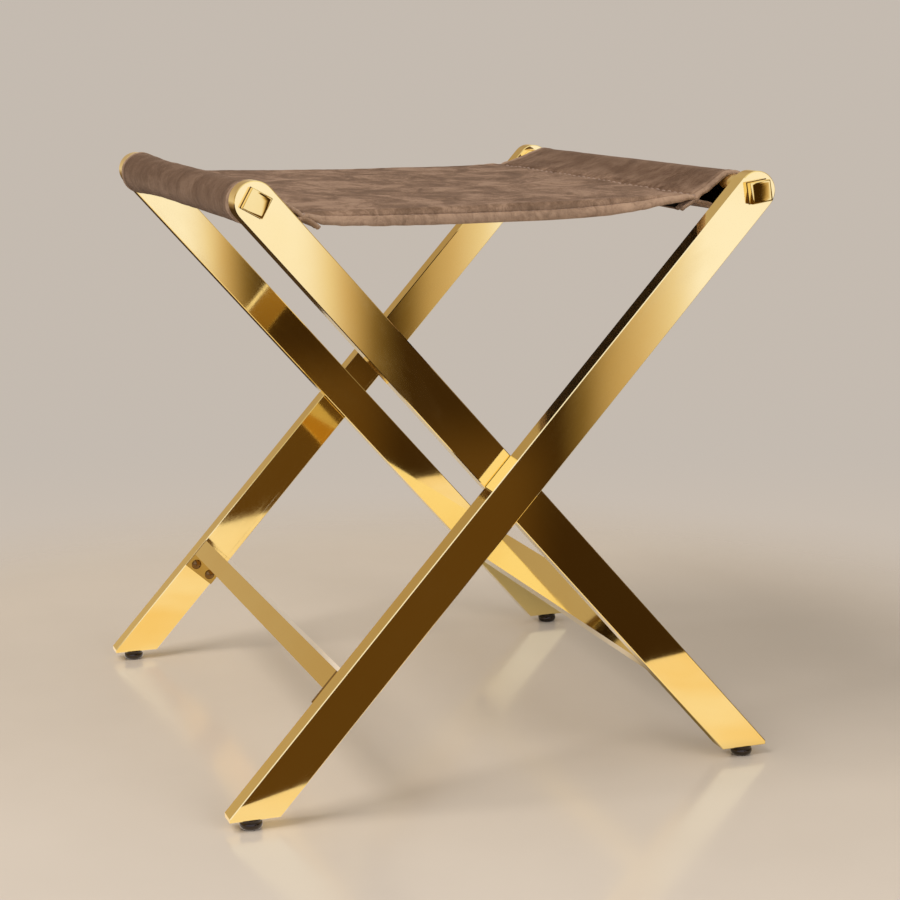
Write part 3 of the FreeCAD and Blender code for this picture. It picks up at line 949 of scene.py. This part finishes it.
def floorMaterial():
    material, maker = newMaterial("paleFloor")
    place = maker.value(maker.add("ShaderNodeTexCoord"), "Object")
    cloud = maker.noise(place, 1.7, 5, 0.55)
    colour = maker.mix(maker.ramp(cloud, 0.3, 0.75), studio["floor"], studio["floorShade"])
    rough = 0.11 + maker.ramp(maker.noise(place, 3.0, 4), 0.3, 0.8) * 0.13
    radius = maker.value(maker.add("ShaderNodeVectorMath", {"operation": "LENGTH"}, {
        0: place}), 1)
    alpha = maker.ramp(radius, studio["fadeStart"], studio["fadeEnd"], (1, 0))
    finishSurface(maker, {"Base Color": colour, "Roughness": rough,
                          "Specular IOR Level": 0.85, "Alpha": alpha})
    return material


def plainFloor():
    bpy.ops.object.select_all(action="DESELECT")
    bpy.ops.mesh.primitive_circle_add(vertices=96, radius=studio["fadeEnd"] + 0.02,
                                      fill_type="NGON")
    floor = bpy.context.object
    floor.name = "floor"
    dress(floor, floorMaterial())
    floor.visible_glossy = False


# The floor as the brass mirrors it: a bright patch on the left, a glowing sheet of painted light,
# plain lit floor on the right, and a painted shadow round the right front foot
def patchMaterial():
    material, maker = newMaterial("mirroredFloor")
    place = maker.value(maker.add("ShaderNodeTexCoord"), "Object")
    split = maker.add("ShaderNodeSeparateXYZ", None, {0: place})
    sideways = maker.value(split, 1) + maker.value(split, 0) * 1.6
    glowMask = maker.ramp(sideways, 0.15, 0.35, (1, 0))
    cloud = maker.ramp(maker.noise(place, 5.0, 3, 0.5), 0.40, 0.72)
    colour = maker.mix(cloud, (0.98, 0.86, 0.77), (0.95, 0.72, 0.42))
    # Painted shadow: a dark spot round the right front foot, seen only in the brass
    aside = maker.value(maker.add("ShaderNodeVectorMath", {"operation": "DISTANCE"}, {
        0: place, 1: studio["footShade"]}), 1)
    colour = maker.mix(maker.ramp(aside, 0.06, 0.14, (1, 0)), colour, (0.16, 0.11, 0.04))
    glow = maker.add("ShaderNodeEmission", None, {"Color": colour, "Strength": 1.0})
    plain = maker.add("ShaderNodeBsdfDiffuse", None, {"Color": (0.62, 0.56, 0.50, 1)})
    both = maker.add("ShaderNodeMixShader", None, {
        0: glowMask, 1: plain.outputs[0], 2: glow.outputs[0]})
    below = maker.value(maker.add("ShaderNodeNewGeometry"), "Backfacing")
    clear = maker.add("ShaderNodeBsdfTransparent")
    oneSided = maker.add("ShaderNodeMixShader", None, {
        0: below, 1: both.outputs[0], 2: clear.outputs[0]})
    maker.add("ShaderNodeOutputMaterial", None, {"Surface": oneSided.outputs[0]})
    return material


def patchFront(across):
    edge = studio["patchEdge"]
    for (first, firstDepth), (last, lastDepth) in zip(edge, edge[1:]):
        if across <= last:
            share = max(0.0, (across - first) / (last - first))
            return along(firstDepth, lastDepth, share)
    return edge[-1][1]


def mirroredFloor():
    bpy.ops.object.select_all(action="DESELECT")
    bpy.ops.mesh.primitive_grid_add(x_subdivisions=300, y_subdivisions=1, size=2)
    patch = bpy.context.object
    patch.name = "floor_patch"
    for vertex in patch.data.vertices:
        across = vertex.co.x * 1.5
        depth = patchFront(across) if vertex.co.y < 0 else studio["patchBack"]
        vertex.co = (across, depth, studio["patchHeight"])
    dress(patch, patchMaterial())
    onlyMirrored(patch)


# A glowing card in front of the stool, seen only in the brass and painted with the reflections:
# pale, with a dark upright and a dark foot
def cardMaterial():
    material, maker = newMaterial("mirroredCard")
    place = maker.value(maker.add("ShaderNodeTexCoord"), "Object")
    split = maker.add("ShaderNodeSeparateXYZ", None, {0: place})
    across = maker.value(split, 0)
    up = maker.value(split, 2)
    enter = maker.ramp(across, 0.265, 0.45)
    leave = maker.value(maker.add("ShaderNodeValToRGB", {"stops": [
        (0.0, (1, 1, 1)), (0.18, (0.80, 0.80, 0.80)), (0.37, (0.57, 0.57, 0.57)),
        (0.55, (0.46, 0.46, 0.46)), (0.80, (0.27, 0.27, 0.27)), (1.0, (0, 0, 0))]}, {
        "Fac": (across - 0.69) / 0.25}))
    upright = maker.value(maker.add("ShaderNodeMath", {"operation": "MULTIPLY"}, {
        0: enter, 1: leave}))
    foot = maker.ramp(up, -0.12, 0.01, (1, 0))
    dark = maker.value(maker.add("ShaderNodeMath", {"operation": "MAXIMUM"}, {
        0: upright, 1: foot}))
    dark = dark * maker.ramp(up, 0.9, 1.25, (1, 0)) + maker.ramp(across, 1.15, 1.3, (0, 0.85))
    colour = maker.value(maker.add("ShaderNodeValToRGB", {"stops": [
        (0.0, (1.02, 1.06, 1.5)), (0.25, (0.86, 0.78, 0.76)), (0.45, (0.65, 0.5, 0.36)),
        (0.6, (0.47, 0.34, 0.2)), (0.8, (0.2, 0.13, 0.05)), (1.0, (0.045, 0.022, 0.006))]}, {
        "Fac": dark}))
    low = maker.ramp(across, 0.60, 0.72, (1, 0)) * foot
    colour = maker.mix(low, colour, (0.112, 0.056, 0.013))
    glow = maker.add("ShaderNodeEmission", None, {"Color": colour, "Strength": 1.0})
    maker.add("ShaderNodeOutputMaterial", None, {"Surface": glow.outputs[0]})
    return material


def mirroredCard():
    bpy.ops.object.select_all(action="DESELECT")
    bpy.ops.mesh.primitive_plane_add(size=2)
    card = bpy.context.object
    card.name = "mirrored_card"
    for vertex in card.data.vertices:
        vertex.co = (vertex.co.x * 5.0, studio["cardDepth"], vertex.co.y * 3.0 + 1.0)
    dress(card, cardMaterial())
    onlyMirrored(card)


plainFloor()
mirroredFloor()
mirroredCard()


# The world: plain pale light on the cloth, a backdrop for the camera, and surroundings that
# only the brass mirrors, from dark below (0) to pale above (1)
surroundings = {
    "stops": [
        (0.0, (0.05, 0.028, 0.010)), (0.40, (0.06, 0.034, 0.014)), (0.44, (0.30, 0.20, 0.10)),
        (0.48, (0.74, 0.62, 0.42)), (0.56, (0.60, 0.47, 0.30)), (0.605, (0.50, 0.38, 0.24)),
        (0.66, (0.41, 0.29, 0.15)), (0.80, (0.62, 0.54, 0.44)), (1.0, (0.95, 0.93, 0.90))],
    "darkFrom": (0.88, 0.95), "dark": (0.06, 0.035, 0.012),
    "clothLight": (0.80, 0.79, 0.78), "clothStrength": 0.60,
}


def makeWorld():
    world = bpy.context.scene.world or bpy.data.worlds.new("studio")
    bpy.context.scene.world = world
    world.use_nodes = True
    maker = Maker(world.node_tree)
    direction = maker.value(maker.add("ShaderNodeTexCoord"), "Generated")
    split = maker.add("ShaderNodeSeparateXYZ", None, {0: direction})
    up = maker.value(split, 2)
    mirrored = maker.value(maker.add("ShaderNodeValToRGB", {
        "stops": surroundings["stops"]}, {"Fac": up * 0.5 + 0.5}))
    aside = maker.ramp(maker.value(split, 0), *surroundings["darkFrom"], (0, 0.8))
    mirrored = maker.mix(aside, mirrored, surroundings["dark"])
    path = maker.add("ShaderNodeLightPath")
    seen = maker.value(path, "Is Camera Ray")
    glossy = maker.value(path, "Is Glossy Ray")
    backdrop = maker.mix(maker.ramp(up, -0.24, -0.19), studio["backdropLow"],
                         studio["backdropHigh"])
    light = maker.mix(glossy, surroundings["clothLight"], mirrored)
    colour = maker.mix(seen, light, backdrop)
    strength = maker.ramp(seen + glossy, 0.0, 1.0, (surroundings["clothStrength"], 1.0))
    background = maker.add("ShaderNodeBackground", None, {
        "Color": colour, "Strength": strength})
    maker.add("ShaderNodeOutputWorld", None, {"Surface": background.outputs[0]})


makeWorld()


def softLamp(name, place, aim, size, power, colour):
    bpy.ops.object.light_add(type="AREA", location=place)
    lamp = bpy.context.object
    lamp.name = name
    lamp.data.shape = "RECTANGLE"
    lamp.data.size, lamp.data.size_y = size
    lamp.data.energy = power
    lamp.data.color = colour
    direction = Vector(aim) - Vector(place)
    lamp.rotation_euler = direction.to_track_quat("-Z", "Y").to_euler()
    lamp.visible_glossy = False
    lamp.visible_camera = False
    return lamp


keyLamp = {"place": (-2.6, -0.5, 3.4), "aim": (0, 0, 0.25), "size": (2.2, 2.2),
           "power": 118, "colour": (1.0, 0.95, 0.88)}
fillLamp = {"place": (1.0, -2.4, 1.1), "aim": (0, 0, 0.35), "size": (1.6, 1.2),
            "power": 26, "colour": (1.0, 0.96, 0.92)}
softLamp("key_lamp", **keyLamp)
softLamp("fill_lamp", **fillLamp)

scene = bpy.context.scene
scene.view_settings.view_transform = "Standard"
print("studio lit")
